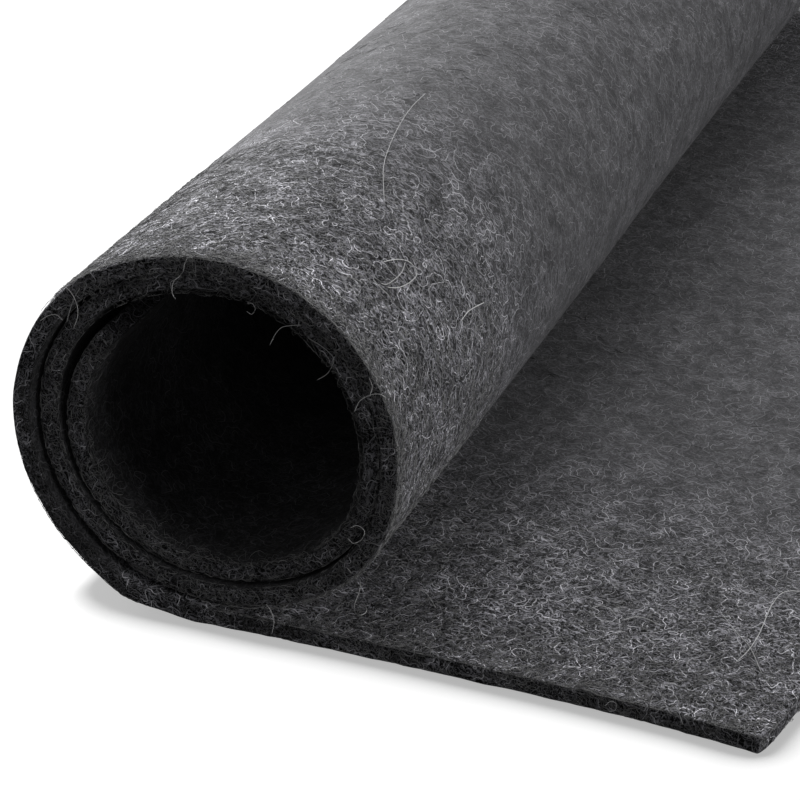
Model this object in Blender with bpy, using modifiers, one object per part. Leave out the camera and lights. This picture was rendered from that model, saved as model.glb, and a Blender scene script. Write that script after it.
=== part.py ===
"""A sheet of thick wool felt, loosely rolled from one end, with its other end left lying flat.

The sheet is one piece. It is modelled as a flat grid that is rolled up: the outer face of every turn
is placed first, and the felt's thickness is then laid on its inner side. Metres, +Z up, +Y along the
roll from its near end to its far end, +X along the flat tail. The origin is on the surface that the
felt lies on, at the middle of the space that it takes up.
"""

from math import cos, exp, hypot, pi, radians, sin

import bmesh
import bpy
from mathutils import Vector

# The sheet as it was cut
FELT_THICKNESS = 0.00285
SHEET_WIDTH = 0.312
SHEET_LENGTH = 0.457

# The roll
ROLL_RADIUS = 0.0290
TURN_GAP = 0.00035
TURN_PITCH = FELT_THICKNESS + TURN_GAP
STEP_IN_FROM_DEG = 284.0  # each turn keeps its radius up to here, then passes inside its own start
FULL_TURN_DEG = 360.0
SPRUNG_IN = 0.0011  # the inner end stands this far clear of the turn around it
SPRUNG_FROM_DEG = 778.0
SPRUNG_OVER_DEG = 70.0

# The roll was started a little askew, so its inner turns sit further back than the first.
SET_BACK = (
    # (degrees turned, how far back the near edge lies), in degrees and metres
    (0.0, 0.0),
    (240.0, 0.0001),
    (320.0, 0.0009),
    (410.0, 0.0018),
    (600.0, 0.0021),
    (720.0, 0.0026),
    (860.0, 0.0032),
)

# Felt gives under its own weight, so no turn is a true circle. Angles run clockwise from the foot of
# the roll, up its left side. Each row moves the outer face of the felt out from a circle.
ROUNDNESS = (
    # (angle in degrees, first turn, later turns), in metres
    (0.0, 0.0, 0.0),
    (12.0, 0.0001, 0.0),
    (23.0, 0.0010, 0.0),
    (33.0, 0.0006, 0.0),
    (45.0, 0.0004, 0.0),
    (62.0, 0.0003, 0.0),
    (90.0, 0.0002, 0.0),
    (112.0, -0.0001, -0.0001),
    (135.0, -0.0004, -0.0004),
    (155.0, -0.0009, -0.0009),
    (174.0, -0.0009, -0.0009),
    (190.0, -0.0004, -0.0004),
    (204.0, 0.0001, 0.0),
    (218.0, 0.0004, 0.0002),
    (236.0, 0.0006, 0.0003),
    (252.0, 0.0006, 0.0003),
    (266.0, 0.0003, 0.0002),
    (282.0, 0.0001, 0.0001),
    (322.0, 0.0, 0.0),
    (360.0, 0.0, 0.0),
)
ROUNDNESS_INSIDE = 0.35  # the share of it that is left further in, where the cut edge no longer sags
SAG_DEPTH = 0.030

# The tail, which lies flat from the foot of the roll to the sheet's free end
TAIL_AT_CORNER = 0.0829
TAIL_SPREAD = 0.0058  # the free end runs out this much further, behind its near corner
TAIL_SPREAD_DEPTH = 0.023
TAIL_NEAR_EDGE = (
    # (distance from the foot, how far back the near edge lies), in metres
    (0.0, 0.0),
    (0.0154, 0.0003),
    (0.0276, 0.0004),
    (0.0513, 0.0002),
    (0.0626, -0.0001),
    (0.0742, -0.0007),
    (0.0829, -0.0015),
)

# The roll wanders a little along its length
WANDER_SIDEWAYS = 0.0003
WANDER_HEIGHT = 0.0002
WANDER_WAVES = 1.25

# How finely the sheet is divided
DEGREES_PER_STATION = 7.5
TAIL_STATIONS = 8
ROWS = 12  # closer together towards both cut edges

# The felt's look
CHARCOAL_MELANGE = (0.115, 0.115, 0.12, 1.0)
FELT_ROUGHNESS = 0.95


def eased(share):
    """0 to 1 with a soft start and a soft end."""
    share = min(1.0, max(0.0, share))
    return share * share * (3.0 - 2.0 * share)


def read_table(rows, at, column):
    """The column's value at the first column's value `at`, on a smooth curve through the rows."""
    last = len(rows) - 1
    i = next((n for n in range(last) if at <= rows[n + 1][0]), last - 1)
    before, here, there, after = (rows[max(0, min(last, n))] for n in (i - 1, i, i + 1, i + 2))
    span = there[0] - here[0]
    t = min(1.0, max(0.0, (at - here[0]) / span))
    slope_here = span * (there[column] - before[column]) / (there[0] - before[0])
    slope_there = span * (after[column] - here[column]) / (after[0] - here[0])
    return (
        here[column] * (2 * t**3 - 3 * t**2 + 1)
        + there[column] * (3 * t**2 - 2 * t**3)
        + slope_here * (t**3 - 2 * t**2 + t)
        + slope_there * (t**3 - t**2)
    )


def winding_radius(turned, depth=0.0):
    """Distance from the roll's axis to the outer face of the felt, after turning by so many degrees."""
    turns, angle = divmod(turned, FULL_TURN_DEG)
    stepped = turns + eased((angle - STEP_IN_FROM_DEG) / (FULL_TURN_DEG - STEP_IN_FROM_DEG))
    sprung = SPRUNG_IN * eased((turned - SPRUNG_FROM_DEG) / SPRUNG_OVER_DEG)
    uneven = read_table(ROUNDNESS, angle, 1 if turns < 1 else 2)
    near_end = exp(-max(0.0, depth) / SAG_DEPTH)
    uneven *= ROUNDNESS_INSIDE + (1.0 - ROUNDNESS_INSIDE) * near_end
    return ROLL_RADIUS - TURN_PITCH * stepped + uneven - sprung


def winding_point(turned, depth=0.0):
    """(x, z) of the outer face of the felt, with the foot of the roll at x = 0."""
    radius = winding_radius(turned, depth)
    angle = radians(turned)
    return -radius * sin(angle), ROLL_RADIUS - radius * cos(angle)


def wind(felt_length):
    """The angles of the stations that wind up this length of felt, measured along its middle."""
    turned = 0.0
    left = felt_length
    angles = [turned]
    while left > 0.0:
        x, z = winding_point(turned)
        next_x, next_z = winding_point(turned + DEGREES_PER_STATION)
        middle_share = 1.0 - 0.5 * FELT_THICKNESS / winding_radius(turned)
        run = hypot(next_x - x, next_z - z) * middle_share
        turned += DEGREES_PER_STATION * min(1.0, left / run)
        left -= run
        angles.append(turned)
    return angles


def tail_length(depth):
    """How far the free end lies from the foot of the roll, this far back from the near edge."""
    return TAIL_AT_CORNER + TAIL_SPREAD * (1.0 - exp(-depth / TAIL_SPREAD_DEPTH))


def wander(depth):
    """(sideways, height) that the roll has drifted by, this far back."""
    wave = 2.0 * pi * WANDER_WAVES * depth / SHEET_WIDTH
    return WANDER_SIDEWAYS * sin(wave), WANDER_HEIGHT * sin(1.7 * wave)


def tail_vertex(share, row_share):
    """A point of the tail's underside. share is 0 at the foot of the roll and 1 at the free end."""
    near = read_table(TAIL_NEAR_EDGE, share * TAIL_AT_CORNER, 1)
    depth = near + row_share * (SHEET_WIDTH - near)
    length = tail_length(row_share * SHEET_WIDTH)
    sideways, _ = wander(depth)
    return Vector((share * length + (1.0 - share) * sideways, depth, 0.0))


def winding_vertex(turned, row_share):
    """A point of the roll's outer face. row_share is 0 at the near edge and 1 at the far edge."""
    depth = read_table(SET_BACK, turned, 1) + row_share * SHEET_WIDTH
    x, z = winding_point(turned, depth)
    sideways, height = wander(depth)
    lift = height * (1.0 - cos(radians(turned))) / 2.0
    return Vector((x + sideways, depth, z + lift))


def rolled_sheet():
    """The outer face of the felt, as a flat grid whose points are moved to where they lie when rolled."""
    tail_shares = [n / TAIL_STATIONS for n in range(TAIL_STATIONS, 0, -1)]
    angles = wind(SHEET_LENGTH - TAIL_AT_CORNER - TAIL_SPREAD)
    last = len(tail_shares) + len(angles) - 1
    bm = bmesh.new()
    bmesh.ops.create_grid(bm, x_segments=last, y_segments=ROWS, size=1.0)
    for v in bm.verts:
        station = round((v.co.x + 1.0) / 2.0 * last)
        row_share = (1.0 - cos(pi * round((v.co.y + 1.0) / 2.0 * ROWS) / ROWS)) / 2.0
        if station < len(tail_shares):
            v.co = tail_vertex(tail_shares[station], row_share)
        else:
            v.co = winding_vertex(angles[station - len(tail_shares)], row_share)
    # Seen from outside the roll, the outer face is the front of the grid.
    tail_face = min(bm.faces, key=lambda face: face.calc_center_median().z)
    tail_face.normal_update()
    if tail_face.normal.z > 0.0:
        bmesh.ops.reverse_faces(bm, faces=bm.faces[:])
    mesh = bpy.data.meshes.new("felt_sheet")
    bm.to_mesh(mesh)
    bm.free()
    return mesh


def centre_on_base(mesh):
    """Moves the mesh so that the middle of its base is the origin."""
    xs, ys, zs = zip(*(v.co for v in mesh.vertices))
    offset = Vector(((min(xs) + max(xs)) / 2.0, (min(ys) + max(ys)) / 2.0, min(zs)))
    for v in mesh.vertices:
        v.co -= offset


def felt_material():
    material = bpy.data.materials.new("charcoal_felt")
    material.use_nodes = True
    shader = material.node_tree.nodes["Principled BSDF"]
    shader.inputs["Base Color"].default_value = CHARCOAL_MELANGE
    shader.inputs["Roughness"].default_value = FELT_ROUGHNESS
    shader.inputs["Metallic"].default_value = 0.0
    return material


def build():
    for obj in list(bpy.data.objects):
        bpy.data.objects.remove(obj, do_unlink=True)
    collection = bpy.data.collections.new("felt_roll")
    bpy.context.scene.collection.children.link(collection)

    mesh = rolled_sheet()
    centre_on_base(mesh)
    mesh.materials.append(felt_material())
    mesh.shade_smooth()
    mesh.set_sharp_from_angle(angle=radians(40.0))
    felt = bpy.data.objects.new("felt_sheet", mesh)
    collection.objects.link(felt)

    thickness = felt.modifiers.new("felt_thickness", "SOLIDIFY")
    thickness.thickness = FELT_THICKNESS
    thickness.offset = -1.0
    thickness.use_even_offset = True
    thickness.use_rim = True


build()
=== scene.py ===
"""The roll of felt, dressed: the rolled sheet with its uneven cut edges, its fibres and its stray hairs."""

from math import pi

import bpy
import numpy as np
from mathutils import Matrix, Vector
from mathutils.bvhtree import BVHTree


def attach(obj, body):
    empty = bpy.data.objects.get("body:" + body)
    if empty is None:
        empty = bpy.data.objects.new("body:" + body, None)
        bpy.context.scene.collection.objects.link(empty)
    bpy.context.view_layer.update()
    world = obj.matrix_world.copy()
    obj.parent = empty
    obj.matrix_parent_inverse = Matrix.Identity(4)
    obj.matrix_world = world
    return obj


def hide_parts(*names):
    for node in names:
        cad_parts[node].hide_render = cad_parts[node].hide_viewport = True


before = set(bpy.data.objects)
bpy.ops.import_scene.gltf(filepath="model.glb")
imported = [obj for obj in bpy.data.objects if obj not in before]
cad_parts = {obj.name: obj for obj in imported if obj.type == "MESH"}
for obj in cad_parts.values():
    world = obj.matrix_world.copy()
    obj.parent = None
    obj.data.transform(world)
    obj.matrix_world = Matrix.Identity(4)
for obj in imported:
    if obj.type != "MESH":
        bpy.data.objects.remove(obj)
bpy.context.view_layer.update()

MM = 0.001
MM_PER_M = 1000.0
FULL_TURN = 360.0
rng = np.random.default_rng(27)

# The sheet, as the CAD part has it. Lengths are in metres and angles in degrees.
THICK = 0.00285
WIDTH = 0.312
LENGTH = 0.457
RADIUS = 0.0290
PITCH = THICK + 0.00035
STEP_IN_FROM = 284.0
SPRUNG_IN, SPRUNG_FROM, SPRUNG_OVER = 0.0011, 778.0, 70.0
INNER_END = 846.34
SET_BACK = np.array([
    # degrees turned, metres back
    (0.0, 0.0), (240.0, 0.0001), (320.0, 0.0009), (410.0, 0.0018),
    (600.0, 0.0021), (720.0, 0.0026), (860.0, 0.0032),
])
ROUNDNESS = np.array([
    # degrees, first turn, later turns (mm out from a circle)
    (0, 0, 0), (12, 0.1, 0), (23, 1.0, 0), (33, 0.6, 0), (45, 0.4, 0), (62, 0.3, 0), (90, 0.2, 0),
    (112, -0.1, -0.1), (135, -0.4, -0.4), (155, -0.9, -0.9), (174, -0.9, -0.9), (190, -0.4, -0.4),
    (204, 0.1, 0), (218, 0.4, 0.2), (236, 0.6, 0.3), (252, 0.6, 0.3), (266, 0.3, 0.2),
    (282, 0.1, 0.1), (322, 0, 0), (360, 0, 0),
], float)
ROUNDNESS_INSIDE, SAG_DEPTH = 0.35, 0.030
TAIL_AT_CORNER, TAIL_SPREAD, TAIL_SPREAD_DEPTH = 0.0829, 0.0058, 0.023
TAIL = TAIL_AT_CORNER + TAIL_SPREAD
TAIL_NEAR_EDGE = np.array([
    # metres from the foot, metres back
    (0.0, 0.0), (0.0154, 0.0003), (0.0276, 0.0004), (0.0513, 0.0002),
    (0.0626, -0.0001), (0.0742, -0.0007), (0.0829, -0.0015), (0.0890, -0.0020),
])
WANDER_SIDEWAYS, WANDER_HEIGHT, WANDER_WAVES = 0.0003, 0.0002, 1.25
HEIGHT_WAVES = 1.7  # the height wanders this many times as often
WOUND = LENGTH - TAIL

# Where the foot of the roll and its near end lie in the frame
FOOT = Vector((-0.029669, -0.156821, 0.0))


def eased(share):
    """0 to 1 with a soft start and a soft end."""
    share = np.clip(share, 0.0, 1.0)
    return share * share * (3.0 - 2.0 * share)


def smooth_table(rows, at, column=1):
    """The column's value at the first column's value `at`, on a smooth curve through the rows."""
    xs, ys = rows[:, 0], rows[:, column]
    at = np.clip(at, xs[0], xs[-1])
    i = np.clip(np.searchsorted(xs, at, side="left") - 1, 0, len(xs) - 2)
    before, after = np.maximum(i - 1, 0), np.minimum(i + 2, len(xs) - 1)
    span = xs[i + 1] - xs[i]
    t = (at - xs[i]) / span
    slope_here = span * (ys[i + 1] - ys[before]) / (xs[i + 1] - xs[before])
    slope_there = span * (ys[after] - ys[i]) / (xs[after] - xs[i])
    return (ys[i] * (2 * t**3 - 3 * t**2 + 1) + ys[i + 1] * (3 * t**2 - 2 * t**3)
            + slope_here * (t**3 - 2 * t**2 + t) + slope_there * (t**3 - t**2))


def winding_xz(turned, depth):
    """(x, z) of the felt's outer face from the foot of the roll."""
    turns = np.floor(turned / FULL_TURN)
    angle = turned - FULL_TURN * turns
    stepped = turns + eased((angle - STEP_IN_FROM) / (FULL_TURN - STEP_IN_FROM))
    sprung = SPRUNG_IN * eased((turned - SPRUNG_FROM) / SPRUNG_OVER)
    first = smooth_table(ROUNDNESS, angle, 1)
    later = smooth_table(ROUNDNESS, angle, 2)
    near_end = np.exp(-np.maximum(depth, 0) / SAG_DEPTH)
    uneven = np.where(turns < 1, first, later) * MM
    uneven = uneven * (ROUNDNESS_INSIDE + (1 - ROUNDNESS_INSIDE) * near_end)
    radius = RADIUS - PITCH * stepped + uneven - sprung
    a = np.radians(turned)
    return -radius * np.sin(a), RADIUS - radius * np.cos(a)


def wander(depth):
    """(sideways, height) that the roll has drifted by, this far back."""
    wave = 2 * pi * WANDER_WAVES * depth / WIDTH
    return WANDER_SIDEWAYS * np.sin(wave), WANDER_HEIGHT * np.sin(HEIGHT_WAVES * wave)


# How much felt is wound up at each angle, to a little past the inner end
TURNED_MOST, TURNED_STEP = 900.0, 0.5
_turned = np.arange(0.0, TURNED_MOST, TURNED_STEP)
_x, _z = winding_xz(_turned, np.zeros_like(_turned))
_radius = np.hypot(_x, _z - RADIUS)
_run = np.hypot(np.diff(_x), np.diff(_z)) * (1 - 0.5 * THICK / _radius[:-1])
_used = np.concatenate([[0.0], np.cumsum(_run)])


def felt_used(degrees):
    """The length of felt from the foot of the roll to where it has turned this far."""
    return float(np.interp(degrees, _turned, _used))


RUN_STEP = 0.4  # the felt's direction is taken between points this many degrees either way


def roll_up(u, y, n):
    """Places points of the flat sheet. u is the length from the foot of the roll, below 0 on the tail, y the
    distance from the near cut edge, and n the distance from the roll's outer face into the felt."""
    u, y, n = np.broadcast_arrays(np.asarray(u, float), np.asarray(y, float), np.asarray(n, float))
    turned = np.interp(np.maximum(u, 0.0), _used, _turned)
    depth = smooth_table(SET_BACK, turned) + y
    x0, z0 = winding_xz(turned, depth)
    xa, za = winding_xz(np.maximum(turned - RUN_STEP, 0.0), depth)
    xb, zb = winding_xz(turned + RUN_STEP, depth)
    tx, tz = xb - xa, zb - za
    length = np.hypot(tx, tz)
    nx, nz = tz / length, -tx / length  # turned clockwise from the run of the felt: towards the axis
    sideways, height = wander(depth)
    lift = height * (1 - np.cos(np.radians(turned))) / 2
    wx, wz = x0 + sideways + n * nx, z0 + lift + n * nz
    spread = TAIL_SPREAD * (1 - np.exp(-np.maximum(y, 0) / TAIL_SPREAD_DEPTH))
    away = -u * (TAIL_AT_CORNER + spread) / TAIL
    near = smooth_table(TAIL_NEAR_EDGE, -u)
    tail_depth = near + y * (WIDTH - near) / WIDTH
    tail_side, _ = wander(tail_depth)
    on_tail = u < 0
    x = np.where(on_tail, away + tail_side * np.clip(1 + u / TAIL, 0, 1), wx)
    d = np.where(on_tail, tail_depth, depth)
    z = np.where(on_tail, n, wz)
    return np.stack([x + FOOT.x, d + FOOT.y, z], axis=-1)


NOISE_CELLS = 256


def value_noise(at, cell, seed):
    """Smooth noise of about -1 to 1 at 2-D points, with features of the cell's size."""
    table = np.random.default_rng(seed).uniform(-1, 1, (NOISE_CELLS, NOISE_CELLS))
    p = at / cell
    i = np.floor(p).astype(int)
    f = eased(p - i)
    i0, j0 = i[..., 0] % NOISE_CELLS, i[..., 1] % NOISE_CELLS
    i1, j1 = (i0 + 1) % NOISE_CELLS, (j0 + 1) % NOISE_CELLS
    a = table[i0, j0] * (1 - f[..., 0]) + table[i1, j0] * f[..., 0]
    b = table[i0, j1] * (1 - f[..., 0]) + table[i1, j1] * f[..., 0]
    return a * (1 - f[..., 1]) + b * f[..., 1]


def layered_noise(at, layers):
    """Layers of noise, each with how much it adds, the size of its features and its seed."""
    return sum(amount * value_noise(at, cell, seed) for amount, cell, seed in layers)


# The sheet's mesh: a finely divided slab with rounded edges, roughened where it was cut, then rolled up
LENGTH_STEP, WIDTH_STEP = 0.0013, 0.0060
EDGE_STEP, EDGE_REACH = 0.00025, 0.0010  # finer steps, this close to the cut faces
NEAR_ROWS = np.arange(0.0016, 0.012, 0.0012)  # further rows of points, where the edges' shape still shows
FAR_ROWS = WIDTH - np.arange(0.0016, 0.006, 0.0016)
LAYERS = np.array([0.0, 0.20, 0.45, 0.75, 1.10, 1.425, 1.75, 2.10, 2.40, 2.65, 2.85]) * MM
EDGE_ROUND = 0.0005
RAGGED_SIDE = ((0.10, 0.0009, 1), (0.13, 0.0026, 2), (0.12, 0.011, 3))  # mm, size in metres, seed
RAGGED_END = ((0.10, 0.0009, 4), (0.13, 0.0028, 5))
RAGGED_THROUGH = 1.6  # the raggedness is finer through the felt by this factor
UNEVEN = ((0.07, 0.0045, 6), (0.07, 0.015, 7))
CUT_REACH = 0.0012  # how far in from a cut edge the shears' traces fade
PINCH, PINCH_OVER = 0.10, 0.012  # the rolled felt is this much thinner where it was cut
RIM_CUT = 0.6  # how far the edges themselves share in the cut faces' look
INSIDE_FROM, INSIDE_OVER = 0.004, 0.02  # where the inner side's look starts, from the foot of the roll
PAINTED_SHADE_DEPTH, PAINTED_SHADE_OVER = 0.008, 0.035  # and how far in from the cut edges the inner side gets painted shade

# Its texture square: the two broad faces, and above them a strip for each cut face
UV_LEFT, UV_RUN = 0.01, 0.98
UV_BROAD, UV_INNER = 0.46, 0.47
UV_NEAR, UV_FAR, UV_TAIL_END, UV_CORE_END = 0.935, 0.952, 0.969, 0.985
UV_STRIP = 0.014


def graded(length, coarse, fine, reach):
    """Stations from 0 to length, close together near both ends."""
    ends = np.arange(0.0, reach, fine)
    middle = np.linspace(reach, length - reach, max(2, round((length - 2 * reach) / coarse) + 1))
    return np.concatenate([ends, middle, (length - ends)[::-1]])


def sheet_mesh():
    """The sheet, with attributes for the material: where it is cut, its inner side, painted shade on that
    inner side near the cut edges, and where each point lies on the flat sheet.
    """
    us = graded(LENGTH, LENGTH_STEP, EDGE_STEP, EDGE_REACH) - TAIL
    ys = graded(WIDTH, WIDTH_STEP, EDGE_STEP, EDGE_REACH)
    ys = np.unique(np.concatenate([ys, NEAR_ROWS, FAR_ROWS]))
    ns = LAYERS
    nu, ny, nn = len(us), len(ys), len(ns)
    index = {}
    points = []
    faces = []
    uvs = []

    def vertex(i, j, k):
        key = (i, j, k)
        if key not in index:
            index[key] = len(points)
            points.append((us[i], ys[j], ns[k]))
        return index[key]

    def along(i):
        return UV_LEFT + UV_RUN * i / (nu - 1)

    def patch(a, b, low, high, turned=False):
        """The corners of a patch of the texture square, in the order that its face takes them."""
        corners = ((a, low), (b, low), (b, high), (a, high))
        return (corners[0], corners[3], corners[2], corners[1]) if turned else corners

    def quad(corners, spots):
        faces.append(tuple(vertex(*c) for c in corners))
        uvs.extend(spots)

    top, far, end = nn - 1, ny - 1, nu - 1
    for j in range(ny - 1):
        lo, hi = (UV_BROAD * ys[k] / WIDTH for k in (j, j + 1))
        for i in range(nu - 1):
            a, b = along(i), along(i + 1)
            quad(((i, j, 0), (i + 1, j, 0), (i + 1, j + 1, 0), (i, j + 1, 0)), patch(a, b, lo, hi))
            quad(((i, j + 1, top), (i + 1, j + 1, top), (i + 1, j, top), (i, j, top)),
                 patch(a, b, UV_INNER + hi, UV_INNER + lo))
    for k in range(nn - 1):
        lo, hi = (UV_STRIP * q / (nn - 1) for q in (k, k + 1))
        for i in range(nu - 1):
            a, b = along(i), along(i + 1)
            quad(((i, 0, k), (i, 0, k + 1), (i + 1, 0, k + 1), (i + 1, 0, k)),
                 patch(a, b, UV_NEAR + lo, UV_NEAR + hi, turned=True))
            quad(((i, far, k), (i + 1, far, k), (i + 1, far, k + 1), (i, far, k + 1)),
                 patch(a, b, UV_FAR + lo, UV_FAR + hi))
        for j in range(ny - 1):
            a, b = (UV_LEFT + UV_RUN * ys[q] / WIDTH for q in (j, j + 1))
            quad(((0, j, k), (0, j + 1, k), (0, j + 1, k + 1), (0, j, k + 1)),
                 patch(a, b, UV_TAIL_END + lo, UV_TAIL_END + hi))
            quad(((end, j, k), (end, j, k + 1), (end, j + 1, k + 1), (end, j + 1, k)),
                 patch(a, b, UV_CORE_END + lo, UV_CORE_END + hi, turned=True))
    flat = np.array(points)
    u, y, n = flat.T
    # cut is 1 on the four cut faces and 0 on the two broad ones
    on_cut = (u <= us[0]) | (u >= us[-1]) | (y <= 0) | (y >= WIDTH)
    broad = (n <= 0) | (n >= ns[-1])
    cut = np.where(on_cut & ~broad, 1.0, np.where(on_cut, RIM_CUT, 0.0))
    # inside is 1 on the inner side of every turn; the painted shade lies on that inner side close to the cut
    # edges, in the gaps between the turns and in the hollow's mouth
    inside = (n >= ns[-1]) * eased((u - INSIDE_FROM) / INSIDE_OVER)
    from_edge = np.minimum(y, WIDTH - y)
    painted_shade = inside * (1 - eased((from_edge - PAINTED_SHADE_DEPTH) / PAINTED_SHADE_OVER))
    # round the edges: bring each point back onto a rounded slab
    low = np.array([us[0], 0, 0]) + EDGE_ROUND
    high = np.array([us[-1], WIDTH, ns[-1]]) - EDGE_ROUND
    core = np.clip(flat, low, high)
    out = flat - core
    size = np.linalg.norm(out, axis=1, keepdims=True)
    flat = core + np.where(size > 1e-9, out / np.maximum(size, 1e-9) * EDGE_ROUND, 0.0)
    # the cut edges are a little ragged
    u, y, n = flat.T
    ragged = layered_noise(np.stack([u, n * RAGGED_THROUGH], axis=1), RAGGED_SIDE)
    y = y + np.exp(-np.minimum(y, WIDTH - y) / CUT_REACH) * ragged * MM
    ragged = layered_noise(np.stack([y, n * RAGGED_THROUGH], axis=1), RAGGED_END)
    u = u + np.exp(-np.minimum(u - us[0], us[-1] - u) / CUT_REACH) * ragged * MM
    # the felt's thickness varies a little, and the tail's underside stays flat
    uneven = layered_noise(np.stack([u, y], axis=1), UNEVEN)
    n = n + np.where(u < 0, n / THICK, n / THICK - 0.5) * uneven * MM
    # the shears pressed its edges thinner, which opens the gaps between the turns there
    pressed = PINCH * eased(u / PINCH_OVER) * np.exp(-np.minimum(y, WIDTH - y) / CUT_REACH)
    n = THICK / 2 + (n - THICK / 2) * (1 - pressed)
    co = roll_up(u, y, n)
    mesh = bpy.data.meshes.new("felt_cloth")
    mesh.from_pydata([tuple(p) for p in co], [], faces)
    mesh.shade_smooth()
    mesh.uv_layers.new(name="OFBake").uv.foreach_set("vector", np.array(uvs, np.float32).reshape(-1))
    for name, values in (("cut", cut), ("inside", inside), ("painted_shade", painted_shade)):
        mesh.attributes.new(name, "FLOAT", "POINT").data.foreach_set("value", values.astype(np.float32))
    # where each point lies on the flat sheet, in mm
    place = np.array(points, np.float32) / MM
    mesh.attributes.new("flat", "FLOAT_VECTOR", "POINT").data.foreach_set("vector", place.reshape(-1))
    return mesh


class Tree:
    """A material's nodes, and short ways to add to them."""

    def __init__(self, name):
        self.material = bpy.data.materials.new(name)
        self.material.use_nodes = True
        self.nodes = self.material.node_tree.nodes
        self.links = self.material.node_tree.links
        self.shader = self.nodes["Principled BSDF"]

    def feed(self, socket, value):
        """Links a socket, or sets it to a number or a colour."""
        if isinstance(value, bpy.types.NodeSocket):
            self.links.new(value, socket)
        elif isinstance(value, tuple) and len(socket.default_value) == 4:
            socket.default_value = (*value, 1.0)
        else:
            socket.default_value = value

    def math(self, operation, a, b=0.0):
        n = self.nodes.new("ShaderNodeMath")
        n.operation = operation
        self.feed(n.inputs[0], a)
        self.feed(n.inputs[1], b)
        return n.outputs[0]

    def ramp(self, value, low, high, to_low=0.0, to_high=1.0, soft=True):
        n = self.nodes.new("ShaderNodeMapRange")
        n.interpolation_type = "SMOOTHSTEP" if soft else "LINEAR"
        names = ("Value", "From Min", "From Max", "To Min", "To Max")
        for name, v in zip(names, (value, low, high, to_low, to_high)):
            self.feed(n.inputs[name], v)
        return n.outputs["Result"]

    def mix(self, share, a, b, blend="MIX"):
        n = self.nodes.new("ShaderNodeMix")
        n.data_type = "RGBA"
        n.blend_type = blend
        for socket, value in ((n.inputs[0], share), (n.inputs[6], a), (n.inputs[7], b)):
            self.feed(socket, value)
        return n.outputs[2]

    def vector_math(self, operation, a, b, output=0):
        n = self.nodes.new("ShaderNodeVectorMath")
        n.operation = operation
        for socket, value in ((n.inputs[0], a), (n.inputs[1], b)):
            if isinstance(value, bpy.types.NodeSocket):
                self.links.new(value, socket)
            else:
                socket.default_value = value
        return n.outputs[output]

    def noise(self, vector, size_mm, detail=0.0, roughness=0.5, distortion=0.0, offset=0.0,
              nudge=(0.0, 0.0, 0.0)):
        """Noise at a place in metres, with features of this size. offset picks another part of it."""
        away = Vector((offset, offset * 0.7, -offset * 1.3)) + Vector(nudge)
        moved = self.vector_math("ADD", vector, tuple(away))
        n = self.nodes.new("ShaderNodeTexNoise")
        self.links.new(moved, n.inputs["Vector"])
        for name, v in (("Scale", MM_PER_M / size_mm), ("Detail", detail), ("Roughness", roughness),
                        ("Distortion", distortion)):
            n.inputs[name].default_value = v
        return n.outputs["Fac"]

    def strand_distance(self, vector, size_mm, offset):
        """How many mm a point lies from the nearest line of a web of curling lines, along the surface. The
        lines are where a noise passes its middle value. The noise's slope along the surface turns that into
        a distance."""
        step = 0.02 * MM
        detail = 0.8
        middle = self.noise(vector, size_mm, detail, offset=offset)
        slope = self.nodes.new("ShaderNodeCombineXYZ")
        for axis, nudge in enumerate(((step, 0, 0), (0, step, 0), (0, 0, step))):
            beside = self.noise(vector, size_mm, detail, offset=offset, nudge=nudge)
            self.links.new(self.math("SUBTRACT", beside, middle), slope.inputs[axis])
        normal = self.nodes.new("ShaderNodeNewGeometry").outputs["Normal"]
        across = self.vector_math("CROSS_PRODUCT", slope.outputs[0], normal)
        length = self.vector_math("LENGTH", across, (0, 0, 0), "Value")
        off = self.math("ABSOLUTE", self.math("SUBTRACT", middle, 0.5))
        steps_away = self.math("DIVIDE", off, self.math("MAXIMUM", length, 1e-6))
        return self.math("MULTIPLY", steps_away, step / MM)

    def strands(self, flat, length, width, turned, dip, offset):
        """Streaks of noise, all along one direction of the sheet: turned from its length and dipping into its
        thickness by these degrees. flat is the place on the flat sheet. Lengths are in mm."""
        n = self.nodes.new("ShaderNodeMapping")
        n.vector_type = "TEXTURE"
        n.inputs["Location"].default_value = (offset, -1.7 * offset, 0.6 * offset)
        n.inputs["Rotation"].default_value = (0.0, np.radians(dip), np.radians(turned))
        n.inputs["Scale"].default_value = (length, width, width)
        self.links.new(flat, n.inputs["Vector"])
        return self.noise(n.outputs["Vector"], MM_PER_M)  # its features are one unit in size

    def bent(self, flat, size, amount, offset):
        """The place on the flat sheet, pushed about by up to about half this amount, by soft noise of this
        size. Lengths are in mm."""
        n = self.nodes.new("ShaderNodeTexNoise")
        self.links.new(self.vector_math("ADD", flat, (offset, offset, offset)), n.inputs["Vector"])
        n.inputs["Scale"].default_value = 1.0 / size
        n.inputs["Detail"].default_value = 1.0
        push = self.vector_math("SUBTRACT", n.outputs["Color"], (0.5, 0.5, 0.5))
        return self.vector_math("ADD", flat, self.vector_math("MULTIPLY", push, (amount, amount, amount)))

    def attribute(self, name, output="Fac"):
        """A point attribute of the mesh."""
        n = self.nodes.new("ShaderNodeAttribute")
        n.attribute_name = name
        return n.outputs[output]

    def place(self, stretch):
        """The place on the object, drawn out along the roll by this factor."""
        n = self.nodes.new("ShaderNodeMapping")
        n.inputs["Scale"].default_value = (1.0, 1.0 / stretch, 1.0)
        self.links.new(self.nodes.new("ShaderNodeTexCoord").outputs["Object"], n.inputs["Vector"])
        return n.outputs["Vector"]


def grey(level, tint=0.0):
    """A neutral grey, a little cooler for a positive tint."""
    return (level * (1 - 0.45 * tint), level * (1 - 0.6 * tint), level * (1 + tint))


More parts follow.
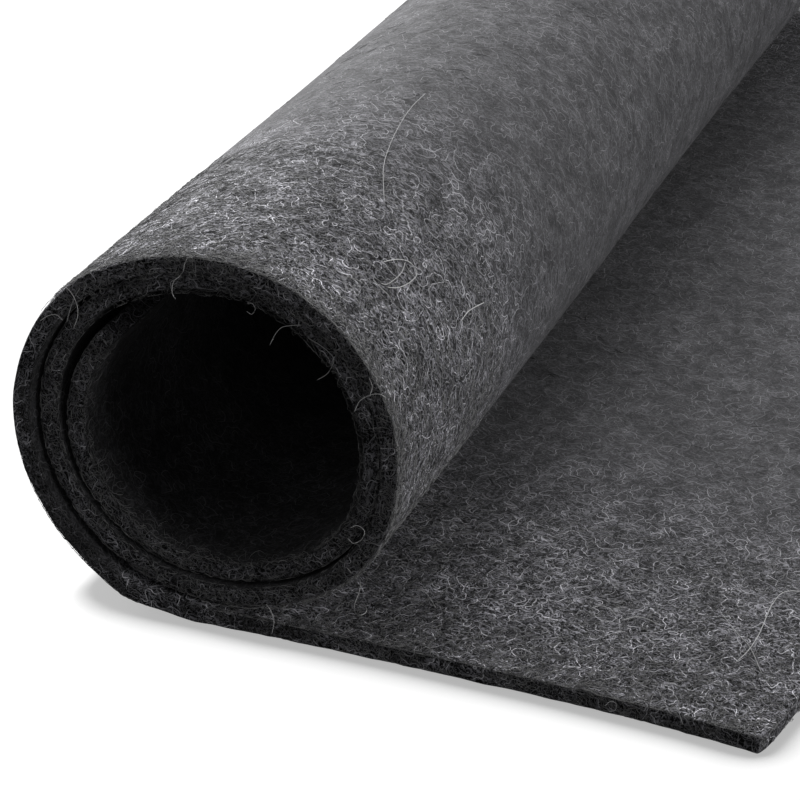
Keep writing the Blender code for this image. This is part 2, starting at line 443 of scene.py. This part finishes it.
# The felt's look. Distances along the roll are in metres from its near end.
DRAWN_OUT = 1.22  # the mottling is this much longer along the roll
CRISP_TO, SMOOTH_FROM, SMOOTH_TO = 0.006, 0.082, 0.222  # where the texture starts and ends to fade
SMOOTHED, FAR_END_CRISP = 0.22, 0.65  # the texture's contrast between the ends, and at the far end
INSIDE_CRISP = 0.40  # of that contrast, on the inner side of the turns
# painted light: the felt is lighter at its near end and a little darker further back, as the light falls
NEAR_PAINTED_LIGHT, FAR_PAINTED_LIGHT, PAINTED_LIGHT_REACH = 1.04, 0.97, 0.090
MEAN_TONE = 0.091  # what the texture fades to
# the cut faces' tone, and the tone of the painted shade on the inner side of the turns near the cut edges
CUT_TONE, PAINTED_SHADE_TONE = 0.62, 0.36
CLOUD_TONES, SPOT_TONES = (0.78, 1.18), (0.60, 1.26)
MOTTLE_KEPT = 0.6  # the share of the mottling's contrast that is left where the texture has faded most
STREAK_LENGTH = 6.0  # mm
STREAK_SHIFT = 13.7  # mm from one layer's pattern to the next one's
STREAK_EDGE = 0.04  # of the noise's range, from beside a streak to its full brightness
LINE_CORE, LINE_EDGE = 0.030, 0.085  # mm from the middle of a line to where it fades, and to where it ends
FAINT_LINE = 0.30  # how much a line shows where it has faded out
DEPTH, DEPTH_GAIN = 2.0, 3.95  # a power that deepens the darks, and the gain that makes up for it


def felt_material():
    """Charcoal melange: thin streaks and lines of lighter wool on dark wool, with soft mottling."""
    t = Tree("charcoal_melange_felt")
    where = t.place(DRAWN_OUT)
    # the texture shows most towards the two cut edges, and least in the middle and inside the turns
    axes = t.nodes.new("ShaderNodeSeparateXYZ")
    t.links.new(t.nodes.new("ShaderNodeTexCoord").outputs["Object"], axes.inputs[0])
    back = axes.outputs["Y"]
    near_crisp = t.ramp(back, FOOT.y + CRISP_TO, FOOT.y + SMOOTH_FROM, 1.0, SMOOTHED)
    far_crisp = t.ramp(back, FOOT.y + SMOOTH_TO, FOOT.y + WIDTH, 0.0, FAR_END_CRISP - SMOOTHED)
    inner_crisp = t.ramp(t.attribute("inside"), 0.0, 1.0, 1.0, INSIDE_CRISP)
    crispness = t.math("MULTIPLY", t.math("ADD", near_crisp, far_crisp), inner_crisp)
    # painted light, lighter at the near end and fading to darker further back
    painted_light = t.ramp(back, FOOT.y, FOOT.y + PAINTED_LIGHT_REACH, NEAR_PAINTED_LIGHT, FAR_PAINTED_LIGHT)
    clouds = t.noise(where, 8.5, detail=2.0, roughness=0.55, distortion=0.3, offset=3.0)
    spots = t.noise(where, 3.2, detail=1.5, roughness=0.55, distortion=0.7, offset=11.0)
    fine = t.noise(where, 0.8, detail=1.0, distortion=0.5, offset=5.0)
    # layers of thin streaks, each along its own direction, some of them dark
    flat = t.attribute("flat", "Vector")
    bends = [t.bent(flat, size=2.6, amount=3.4, offset=0.0), t.bent(flat, size=1.7, amount=2.5, offset=40.0)]
    layers = (
        # turned and dip in degrees, width of the streaks in mm, brightness, how rare
        (0, 0, 0.34, 0.07, 0.50),
        (137, 12, 0.30, 0.11, 0.54),
        (95, 0, 0.36, 0.006, 0.55),
        (52, -14, 0.30, 0.15, 0.57),
        (10, 16, 0.32, 0.08, 0.56),
        (147, 0, 0.36, 0.008, 0.56),
        (105, -12, 0.28, 0.20, 0.59),
        (62, 0, 0.30, 0.13, 0.58),
        (168, 10, 0.34, 0.010, 0.58),
        (25, -8, 0.27, 0.30, 0.61),
        (120, 0, 0.28, 0.25, 0.62),
    )
    dark_wool = t.mix(t.ramp(fine, 0.32, 0.68), grey(0.004, 0.08), grey(0.028, 0.06))
    colour = dark_wool
    for i, (turned, dip, width, bright, rare) in enumerate(layers):
        streak = t.strands(bends[i % 2], STREAK_LENGTH, width, turned, dip, STREAK_SHIFT * i)
        colour = t.mix(t.ramp(streak, rare, rare + STREAK_EDGE), colour, grey(bright, 0.03))
    # and webs of longer thin lines, which fade in and out
    here = t.noise(where, 3.0, offset=21.0)
    webs = (
        # size of the curls in mm, brightness, offset, and between which values of `here` it comes out
        (2.4, 0.26, 2.1, (0.40, 0.54)),
        (3.0, 0.34, 1.0, (0.60, 0.46)),
        (2.1, 0.46, 4.7, (0.44, 0.56)),
    )
    for size, bright, offset, (hidden, shown) in webs:
        line = t.ramp(t.strand_distance(where, size, offset), LINE_CORE, LINE_EDGE, 1.0, 0.0)
        strength = t.ramp(here, hidden, shown, FAINT_LINE, 1.0)
        colour = t.mix(t.math("MULTIPLY", line, strength), colour, grey(bright, 0.02))
    # deeper darks between the brighter fibres
    deeper = t.nodes.new("ShaderNodeGamma")
    t.links.new(colour, deeper.inputs["Color"])
    deeper.inputs["Gamma"].default_value = DEPTH
    colour = t.mix(1.0, deeper.outputs["Color"], grey(DEPTH_GAIN), "MULTIPLY")
    # the mottling, the darker cut faces, painted light that makes the near end lighter, and painted shade on
    # the inner side of the turns near the cut edges
    clouded = t.ramp(clouds, 0.30, 0.70, *CLOUD_TONES)
    spotted = t.ramp(spots, 0.30, 0.66, *SPOT_TONES)
    mottle = t.math("MULTIPLY", clouded, spotted)
    mottle_kept = t.ramp(crispness, 0.2, 1.0, MOTTLE_KEPT, 1.0)
    mottle = t.math("MULTIPLY", t.math("SUBTRACT", mottle, 1.0), mottle_kept)
    shade = t.math("ADD", mottle, 1.0)
    shade = t.math("MULTIPLY", shade, t.ramp(t.attribute("cut"), 0.1, 0.9, 1.0, CUT_TONE))
    shade = t.math("MULTIPLY", shade, painted_light)
    shade = t.math("MULTIPLY", shade, t.ramp(t.attribute("painted_shade"), 0.0, 1.0, 1.0, PAINTED_SHADE_TONE))
    colour = t.mix(crispness, grey(MEAN_TONE, 0.03), colour)
    colour = t.mix(1.0, colour, shade, "MULTIPLY")
    t.links.new(colour, t.shader.inputs["Base Color"])
    height = t.math("ADD", t.math("MULTIPLY", fine, 0.6), spots)
    bump = t.nodes.new("ShaderNodeBump")
    bump.inputs["Strength"].default_value = 0.8
    bump.inputs["Distance"].default_value = 0.00025
    t.links.new(height, bump.inputs["Height"])
    t.links.new(bump.outputs["Normal"], t.shader.inputs["Normal"])
    t.shader.inputs["Roughness"].default_value = 0.92
    t.shader.inputs["Specular IOR Level"].default_value = 0.2
    t.shader.inputs["Sheen Weight"].default_value = 0.05
    t.shader.inputs["Sheen Roughness"].default_value = 0.5
    return t.material


def fibre_material(name, dark, bright):
    """Wool that runs from dark to bright by each fibre's own tone."""
    t = Tree(name)
    colour = t.mix(t.attribute("tone"), grey(dark, 0.04), grey(bright, 0.0))
    t.links.new(colour, t.shader.inputs["Base Color"])
    t.shader.inputs["Roughness"].default_value = 0.7
    t.shader.inputs["Specular IOR Level"].default_value = 0.25
    return t.material


CORNERS = (pi / 2, pi * 7 / 6, pi * 11 / 6)  # of a tube's three-sided section
END_TAPER = 0.45
# Each tube has a cell of the texture square. In shares of the cell: its margin, the width and length of a
# side, and where the caps lie and how large they are.
CELL_MARGIN, CELL_SIDE, CELL_RUN = 0.1, 0.26, 0.8
CAP_X, CAP_Y, CAP_SIZE = 0.9, (0.2, 0.6), 0.06


def tubes(name, paths, radii, tones, material):
    """One piece of closed three-sided tubes. paths is (fibres, points, 3), radii and tones are (fibres,)."""
    count, steps, _ = paths.shape
    along = np.gradient(paths, axis=1)
    along /= np.maximum(np.linalg.norm(along, axis=2, keepdims=True), 1e-12)
    helper = np.where(np.abs(along[..., 2:3]) < 0.9, (0.0, 0.0, 1.0), (1.0, 0.0, 0.0))
    side = np.cross(along, helper)
    side /= np.maximum(np.linalg.norm(side, axis=2, keepdims=True), 1e-12)
    up = np.cross(side, along)
    taper = np.ones(steps)
    taper[0] = taper[-1] = END_TAPER
    width = radii[:, None, None] * taper[None, :, None]
    rings = [paths + width * (np.cos(a) * side + np.sin(a) * up) for a in CORNERS]
    points = np.stack(rings, axis=2).reshape(-1, 3)
    fibre = np.repeat(np.arange(count), steps - 1)
    ring = np.tile(np.arange(steps - 1), count)
    first = fibre * steps * 3 + ring * 3
    across = int(np.ceil(np.sqrt(count)))
    cell = 1.0 / across
    cell_x, cell_y = (np.arange(count) % across) * cell, (np.arange(count) // across) * cell
    quads, spots = [], []
    for k, (a, b) in enumerate(((0, 1), (1, 2), (2, 0))):
        quads.append(np.stack([first + a, first + b, first + 3 + b, first + 3 + a], axis=1))
        x0, x1 = (cell_x[fibre] + cell * (CELL_MARGIN + CELL_SIDE * q) for q in (k, k + 1))
        y0, y1 = (cell_y[fibre] + cell * (CELL_MARGIN + CELL_RUN * (ring + q) / (steps - 1)) for q in (0, 1))
        spots.append(np.stack([np.stack([x0, y0], 1), np.stack([x1, y0], 1), np.stack([x1, y1], 1),
                               np.stack([x0, y1], 1)], axis=1))
    start = np.arange(count) * steps * 3
    end = start + (steps - 1) * 3
    caps = np.concatenate([np.stack([start + 2, start + 1, start], 1), np.stack([end, end + 1, end + 2], 1)])
    cap_x = np.tile(cell_x, 2) + cell * CAP_X
    cap_y = np.concatenate([cell_y + cell * y for y in CAP_Y])
    cap_spots = np.stack([np.stack([cap_x + cell * dx, cap_y + cell * dy], 1)
                          for dx, dy in ((0, 0), (CAP_SIZE, 0), (0, CAP_SIZE))], axis=1)
    loops = np.concatenate([np.concatenate(quads).reshape(-1), caps.reshape(-1)])
    sizes = np.concatenate([np.full(3 * len(first), 4), np.full(len(caps), 3)])
    starts = np.concatenate([[0], np.cumsum(sizes)[:-1]])
    uv = np.concatenate([np.concatenate(spots).reshape(-1, 2), cap_spots.reshape(-1, 2)])
    mesh = bpy.data.meshes.new(name)
    mesh.vertices.add(len(points))
    mesh.vertices.foreach_set("co", points.reshape(-1).astype(np.float32))
    mesh.loops.add(len(loops))
    mesh.loops.foreach_set("vertex_index", loops.astype(np.int32))
    mesh.polygons.add(len(sizes))
    mesh.polygons.foreach_set("loop_start", starts.astype(np.int32))
    mesh.update(calc_edges=True)
    mesh.shade_smooth()
    mesh.uv_layers.new(name="OFBake").uv.foreach_set("vector", uv.astype(np.float32).reshape(-1))
    tone = np.repeat(tones, steps * 3).astype(np.float32)
    mesh.attributes.new("tone", "FLOAT", "POINT").data.foreach_set("value", tone)
    mesh.materials.append(material)
    obj = bpy.data.objects.new(name, mesh)
    bpy.context.scene.collection.objects.link(obj)
    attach(obj, "root")
    return obj


# Fibres. Lengths are in mm.
DENSITY = 1.0
SPINE = 5  # points along a fibre
CURL = 0.36
CARRIED, FRESH, BIAS = 0.70, 0.7, 0.6  # how a fibre's turning goes on, changes, and leans to one side
ROOT = 0.02  # how deep a fibre's ends lie in the felt
LOW_EDGE = 0.55  # fibres on a cut face stay this far from the outer face, which lies on the floor
OFF_FLOOR = 0.03
LAYER_SPREAD = 0.1  # fibres on a cut face start up to this far past its edges
LOW_LIFTS = 1.5  # a power that makes low fibres commoner than high ones
MEAN_HEIGHT, HEIGHT_WAVE = 0.65, 0.35
WAVES = (0.6, 1.8)  # along a fibre
END_SLOPE = 5.0


def curly(count, reach):
    """(count, points, 2) flat curly paths from the origin. reach is each one's length."""
    turn = rng.normal(0, 1, (count, SPINE))
    for i in range(1, SPINE):
        turn[:, i] = CARRIED * turn[:, i - 1] + FRESH * turn[:, i]
    bias = rng.normal(0, BIAS, (count, 1))
    heading = rng.uniform(0, 2 * pi, (count, 1)) + np.cumsum((turn + bias) * CURL, axis=1)
    step = (reach / SPINE)[:, None]
    return np.stack([np.cumsum(np.cos(heading) * step, 1), np.cumsum(np.sin(heading) * step, 1)], axis=2)


def held(value, low, high, over):
    """The value, kept between low and high but for a soft overhang."""
    return np.where(value < low, low - over * np.tanh((low - value) / over),
                    np.where(value > high, high + over * np.tanh((value - high) / over), value))


def fibres(name, face, count, u_range, y_range, reach, lift, radius, material, crowd, over):
    """Fibres on one face of the sheet: outer, inner, near, far, free (the tail's end) or core (the inner
    end). They start within u_range and y_range, in metres, and crowd towards the start of y_range. reach is
    their length, lift how far they stand off, and over how far they may pass the edge of the face."""
    count = int(count * DENSITY)
    over = over * MM
    u0 = rng.uniform(*u_range, count)
    y0 = y_range[0] + (y_range[1] - y_range[0]) * rng.uniform(0, 1, count) ** crowd
    n0 = rng.uniform(-LAYER_SPREAD * MM, THICK + LAYER_SPREAD * MM, count)
    flat = curly(count, rng.uniform(*reach, count) * MM)
    t = np.linspace(0, 1, SPINE)[None, :]
    top = (rng.uniform(0, 1, (count, 1)) ** LOW_LIFTS * (lift[1] - lift[0]) + lift[0]) * MM
    phase = t * rng.uniform(*WAVES, (count, 1)) + rng.uniform(0, 1, (count, 1))
    wave = MEAN_HEIGHT + HEIGHT_WAVE * np.sin(2 * pi * phase)
    h = top * wave * np.minimum(1.0, END_SLOPE * np.minimum(t, 1 - t)) - ROOT * MM
    across, back = flat[..., 0], flat[..., 1]
    if face in ("outer", "inner"):
        u = held(u0[:, None] + across, -TAIL, WOUND, over)
        y = held(y0[:, None] + back, 0.0, WIDTH, over)
        n = THICK + h if face == "inner" else -h
    elif face in ("near", "far"):
        u = u0[:, None] + across
        n = held(n0[:, None] + back, LOW_EDGE * MM, THICK, over)
        y = -h if face == "near" else WIDTH + h
    else:
        y = held(y0[:, None] + across, 0.0, WIDTH, over)
        n = held(n0[:, None] + back, LOW_EDGE * MM, THICK, over)
        u = -TAIL - h if face == "free" else WOUND + h
    paths = roll_up(u, y, n)
    paths[..., 2] = np.maximum(paths[..., 2], OFF_FLOOR * MM)
    return tubes(name, paths, rng.uniform(*radius, count) * MM, rng.uniform(0, 1, count), material)


# The sheet
cloth_mesh = sheet_mesh()
cloth = bpy.data.objects.new("felt_cloth", cloth_mesh)
bpy.context.scene.collection.objects.link(cloth)
cloth.data.materials.append(felt_material())
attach(cloth, "root")
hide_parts("felt_sheet")

# The camera. Its place is in roll radii from the foot of the roll.
CAMERA_TO_WORLD = Matrix((
    (0.93953632, -0.17919394, 0.29182364),
    (0.34069707, 0.40302199, -0.84941084),
    (0.03459793, 0.89747580, 0.43970465),
))
EYE = Vector((4.78146, -10.99524, 7.12563)) * RADIUS + FOOT
LENS, SENSOR = 126.0, 36.0
camera = bpy.data.cameras.new("camera")
camera.lens = LENS
camera.sensor_width = SENSOR
camera.clip_start = 0.01
camera_object = bpy.data.objects.new("camera", camera)
bpy.context.scene.collection.objects.link(camera_object)
camera_object.matrix_world = Matrix.Translation(EYE) @ CAMERA_TO_WORLD.to_4x4()
bpy.context.scene.camera = camera_object

# Stray hairs, placed where they cross the picture. Each has its picture points, how far it stands off the
# felt or else how far it hangs in front of the roll's near end (below 0, behind it), its radius and its
# tone. Lengths are in mm.
PICTURE = 800
FOCAL = PICTURE * LENS / SENSOR
HAIR_POINTS, HAIR_LEAST = 22, 6
HAIR_WAVES, HAIR_WAVE = 5.0, 0.12  # radians along it, and mm
HAIR_OFF_FLOOR = 0.05
HAIRS = (
    (((380, 264), (388, 262), (397, 261), (406, 263), (412, 268), (415, 275), (411, 281), (402, 287),
      (393, 289), (385, 288)),
     0.35, None, 0.065, 0.9),
    (((404, 263), (401, 272), (395, 279), (386, 285), (380, 284)), 0.25, None, 0.06, 0.8),
    (((372, 281), (380, 290), (388, 297), (392, 304)), 0.25, None, 0.06, 0.7),
    (((425, 95), (410, 110), (397, 130), (388, 150), (383, 168), (383, 190), (384, 205)),
     0.30, None, 0.06, 0.5),
    (((482, 303), (474, 307), (466, 312), (459, 321)), 0.35, None, 0.075, 1.0),
    (((417, 591), (424, 594), (430, 600), (436, 609)), 0.30, None, 0.07, 1.0),
    (((799, 594), (788, 594), (780, 597), (774, 604), (769, 612), (763, 627), (757, 640), (747, 654),
      (735, 665)),
     0.45, None, 0.065, 0.8),
    (((720, 614), (735, 634), (750, 650), (762, 676)), 0.40, None, 0.06, 0.7),
    (((591, 610), (600, 608), (610, 611), (617, 617)), 0.30, None, 0.06, 0.7),
    (((622, 622), (636, 619), (648, 621), (658, 626)), 0.30, None, 0.06, 0.7),
    (((348, 566), (354, 574), (360, 585), (358, 597), (354, 608), (356, 617), (363, 617), (367, 612),
      (363, 603)),
     0.45, None, 0.055, 0.7),
    (((187, 259), (184, 265), (183, 271), (179, 277), (174, 281), (172, 288), (173, 294), (176, 299)),
     None, 0.5, 0.055, 0.8),
    (((63, 285), (70, 292), (76, 303), (78, 315), (74, 328)), None, 0.5, 0.05, 0.9),
    (((80, 288), (74, 298), (70, 310), (67, 322)), None, 0.4, 0.045, 0.6),
    (((40, 321), (48, 316), (57, 315), (63, 320)), None, 0.4, 0.05, 0.7),
    (((302, 325), (290, 326), (281, 328), (275, 335), (270, 345)), None, -1.4, 0.05, 0.9),
    (((308, 338), (322, 347), (333, 358), (332, 366), (327, 374), (317, 380)), None, -1.4, 0.045, 0.7),
    (((247, 303), (252, 304), (255, 309), (252, 314), (247, 311)), None, -1.0, 0.045, 0.7),
    (((369, 378), (372, 387), (370, 396)), None, 0.3, 0.05, 0.8),
    (((354, 412), (360, 401), (371, 395), (380, 394), (386, 397)), None, 0.3, 0.05, 0.9),
    (((350, 528), (357, 526), (364, 531), (362, 539), (354, 543), (348, 538)), None, 0.2, 0.05, 0.8),
    (((266, 604), (271, 612), (274, 622), (272, 634)), None, 0.4, 0.045, 0.5),
    (((674, 694), (678, 702), (679, 712), (683, 724)), None, 0.9, 0.05, 0.5),
    (((605, 706), (610, 702), (616, 704), (615, 710), (609, 711)), None, 0.6, 0.045, 0.5),
)


def catmull(points, count):
    """`count` points spread along a smooth curve through these."""
    p = np.array([2 * points[0] - points[1], *points, 2 * points[-1] - points[-2]])
    s = np.linspace(0, len(points) - 1, count)
    i = np.minimum(s.astype(int), len(points) - 2)
    t = (s - i)[:, None]
    a, b, c, d = p[i], p[i + 1], p[i + 2], p[i + 3]
    return 0.5 * (2 * b + (c - a) * t + (2 * a - 5 * b + 4 * c - d) * t**2 + (3 * b - a - 3 * c + d) * t**3)


def stray_hairs(material):
    """The stray hairs, as one piece. Each point lies on the line of sight through its picture point."""
    corners = [v.co for v in cloth_mesh.vertices]
    surface = BVHTree.FromPolygons(corners, [p.vertices for p in cloth_mesh.polygons])
    wave = np.sin(np.linspace(0, HAIR_WAVES, HAIR_POINTS)) * HAIR_WAVE * MM
    paths, radii, tones = [], [], []
    for spots, lift, hang, radius, tone in HAIRS:
        run = []
        for px, py in catmull(np.array(spots, float), HAIR_POINTS):
            sight = Vector(((px - PICTURE / 2) / FOCAL, (PICTURE / 2 - py) / FOCAL, -1)).normalized()
            ray = CAMERA_TO_WORLD @ sight
            if hang is None:
                hit, normal, _, _ = surface.ray_cast(EYE, ray)
                if hit is not None:
                    run.append(hit + normal * lift * MM)
            else:
                run.append(EYE + ray * ((FOOT.y - hang * MM - EYE.y) / ray.y))
        if len(run) > HAIR_LEAST:
            path = catmull(np.array([tuple(p) for p in run]), HAIR_POINTS)
            path[:, 1] += wave
            path[:, 2] = np.maximum(path[:, 2], HAIR_OFF_FLOOR * MM)
            paths.append(path)
            radii.append(radius * MM)
            tones.append(tone)
    return tubes("stray_hairs", np.array(paths), np.array(radii), np.array(tones), material)


wool = fibre_material("light_wool_fibre", 0.045, 0.40)
dim_wool = fibre_material("dim_wool_fibre", 0.07, 0.15)
cut_wool = fibre_material("cut_wool_fibre", 0.025, 0.31)
tail_wool = fibre_material("tail_wool_fibre", 0.04, 0.33)
# painted shade: darker fibres for the shaded bend of the near cut edge and for the hollow
painted_shade_wool = fibre_material("painted_shade_wool_fibre", 0.015, 0.13)
rim_wool = fibre_material("rim_wool_fibre", 0.07, 0.36)

# Ranges of felt along the sheet, in metres from the foot of the roll
SIDE = felt_used(128.0)  # the roll's upper left, seen from its near end
ONE_TURN = felt_used(FULL_TURN)
HOLLOW = (felt_used(INNER_END - 330.0), WOUND)  # most of the innermost turn
TURN = (SIDE, ONE_TURN)
OFF_FOOT = 0.008
UNDER = (OFF_FOOT, SIDE)
WRAP = (OFF_FOOT, ONE_TURN)
OUTLINE = (felt_used(132.0), felt_used(335.0))  # the part of the near edge that stands against the roll
FLAT = (-TAIL, -0.002)
BEND_FROM = -0.018
LOW = (0.002 - TAIL, BEND_FROM)
BEND = (BEND_FROM, SIDE)
INSIDE = (SIDE, WOUND)
ALL = (-TAIL, WOUND)

# And across it, in metres from the near cut edge
RIM = (0.0, 0.0015)
NEAR = (-0.0002, 0.046)
UNDERSIDE = (0.004, 0.05)
MOUTH = (0, 0.05)
FAR = (0.044, WIDTH)
FAR_END = (WIDTH - 0.040, WIDTH + 0.0002)
ACROSS = (0.0, WIDTH)

SHORT = (1.0, 2.8)  # the length of fibres on the cut faces, in mm
FIBRES = (
    # name, face, how many, along, across, length, lift, radius, material, crowd, over
    ("fibres_roll_near", "outer", 7600, TURN, NEAR, (1.4, 3.8), (0.05, 0.24), (0.030, 0.047), wool, 1.5, 0.4),
    ("fibres_roll_under", "outer", 1100, UNDER, UNDERSIDE, (1.4, 3.4), (0.02, 0.05), (0.030, 0.044),
     dim_wool, 1.0, 0.1),
    ("fibres_roll_far", "outer", 1400, WRAP, FAR, (2, 4.5), (0.04, 0.16), (0.030, 0.044), dim_wool, 1.3, 0.6),
    ("fibres_roll_end", "outer", 700, WRAP, FAR_END, (1.6, 4), (0.05, 0.20), (0.034, 0.052), wool, 1.0, 0.6),
    ("fibres_tail_near", "inner", 7600, FLAT, NEAR, (1.4, 3.8), (0.05, 0.26), (0.030, 0.047),
     tail_wool, 1.5, 0.3),
    ("fibres_tail_far", "inner", 900, FLAT, FAR, (2, 4.5), (0.05, 0.16), (0.035, 0.05), dim_wool, 1.3, 0.6),
    ("fibres_tail_end", "inner", 500, FLAT, FAR_END, (1.6, 4), (0.05, 0.20), (0.034, 0.052), wool, 1.0, 0.6),
    ("fibres_low_cut", "near", 1000, LOW, NEAR, SHORT, (0.03, 0.14), (0.030, 0.046), cut_wool, 1.0, 0.2),
    ("fibres_bend_cut", "near", 1300, BEND, NEAR, SHORT, (0.03, 0.14), (0.030, 0.044), painted_shade_wool, 1.0, 0.2),
    ("fibres_near_cut", "near", 4200, INSIDE, NEAR, SHORT, (0.05, 0.40), (0.028, 0.044), cut_wool, 1.0, 0.3),
    ("fibres_far_cut", "far", 1000, ALL, NEAR, (1.2, 3.0), (0.05, 0.35), (0.032, 0.05), cut_wool, 1.0, 0.3),
    ("fibres_free_end", "free", 500, ALL, ACROSS, SHORT, (0.04, 0.22), (0.032, 0.05), cut_wool, 1.3, 0.3),
    ("fibres_core_end", "core", 300, ALL, ACROSS, SHORT, (0.05, 0.35), (0.032, 0.05), cut_wool, 1.6, 0.3),
    ("fibres_hollow", "inner", 400, HOLLOW, MOUTH, (2, 4.5), (0.05, 0.25), (0.03, 0.045), painted_shade_wool, 1.8, 0.6),
    ("fibres_outer_rim", "outer", 900, OUTLINE, RIM, (1.6, 4), (0.05, 0.35), (0.026, 0.042), wool, 1.0, 0.7),
    ("fibres_inner_rim", "inner", 420, HOLLOW, RIM, (1.6, 4.2), (0.10, 0.70), (0.022, 0.034),
     rim_wool, 1.0, 0.6),
)
pieces = [fibres(*row) for row in FIBRES]
pieces.append(stray_hairs(fibre_material("stray_wool_hair", 0.32, 0.74)))

# The floor glows evenly, bright enough to hide real shadows, and carries a painted contact shadow: its glow
# darkens by ambient occlusion where the felt comes close
FLOOR_REACH, FLOOR_DROP = 6.0, 0.0001
CONTACT_SAMPLES, CONTACT_REACH = 32, 0.0065
SHADOW_FROM, SHADOW_TO, SHADOW_TONE = 0.975, 0.70, 0.44  # how open the floor is at both ends of the shadow
CORNER_SIGNS = ((-1, -1), (1, -1), (1, 1), (-1, 1))
floor_mesh = bpy.data.meshes.new("floor")
floor_mesh.from_pydata([(x * FLOOR_REACH, y * FLOOR_REACH, -FLOOR_DROP) for x, y in CORNER_SIGNS],
                       [], [(0, 1, 2, 3)])
floor = bpy.data.objects.new("floor", floor_mesh)
bpy.context.scene.collection.objects.link(floor)
pale = Tree("pale_floor")
pale.shader.inputs["Base Color"].default_value = (0.05, 0.05, 0.05, 1)
pale.shader.inputs["Roughness"].default_value = 0.9
pale.shader.inputs["Emission Color"].default_value = (1, 1, 1, 1)
contact = pale.nodes.new("ShaderNodeAmbientOcclusion")
contact.samples = CONTACT_SAMPLES
contact.inputs["Distance"].default_value = CONTACT_REACH
# painted contact shadow: the glow drops where the ambient occlusion finds the felt close
glow_with_painted_shadow = pale.ramp(contact.outputs["AO"], SHADOW_TO, SHADOW_FROM, SHADOW_TONE, 1.0, soft=False)
pale.links.new(glow_with_painted_shadow, pale.shader.inputs["Emission Strength"])
floor.data.materials.append(pale.material)
floor.visible_diffuse = False
floor.visible_glossy = False

# The light
STUDIO_LIGHT = 0.12
world = bpy.data.worlds.new("studio")
bpy.context.scene.world = world
world.use_nodes = True
background = world.node_tree.nodes["Background"]
background.inputs["Color"].default_value = (1, 1, 1, 1)
background.inputs["Strength"].default_value = STUDIO_LIGHT
AIM = Vector((0, -0.06, 0.02))


def soft_light(name, around, height, distance, size, power):
    """A square soft light that looks at AIM. around and height are in degrees."""
    a, e = np.radians(around), np.radians(height)
    light = bpy.data.lights.new(name, "AREA")
    light.shape = "SQUARE"
    light.size = size
    light.energy = power
    obj = bpy.data.objects.new(name, light)
    bpy.context.scene.collection.objects.link(obj)
    towards = Vector((np.cos(a) * np.cos(e), np.sin(a) * np.cos(e), np.sin(e)))
    obj.location = AIM + distance * towards
    obj.rotation_euler = (AIM - obj.location).to_track_quat("-Z", "Y").to_euler()


LIGHTS = (
    # name, around and height in degrees, distance and size in metres, power in watts
    ("window_right", 0, 15, 1.3, 0.9, 8.9),
    ("window_left", 135, 15, 1.3, 0.9, 29.1),
    ("softbox_left", 135, 62, 1.3, 0.9, 7.75),
    ("near_fill", 225, 50, 0.55, 0.4, 0.12),
    ("overhead", 0, 90, 0.55, 0.4, 0.53),
)
for light_row in LIGHTS:
    soft_light(*light_row)
bpy.context.scene.view_settings.view_transform = "Standard"
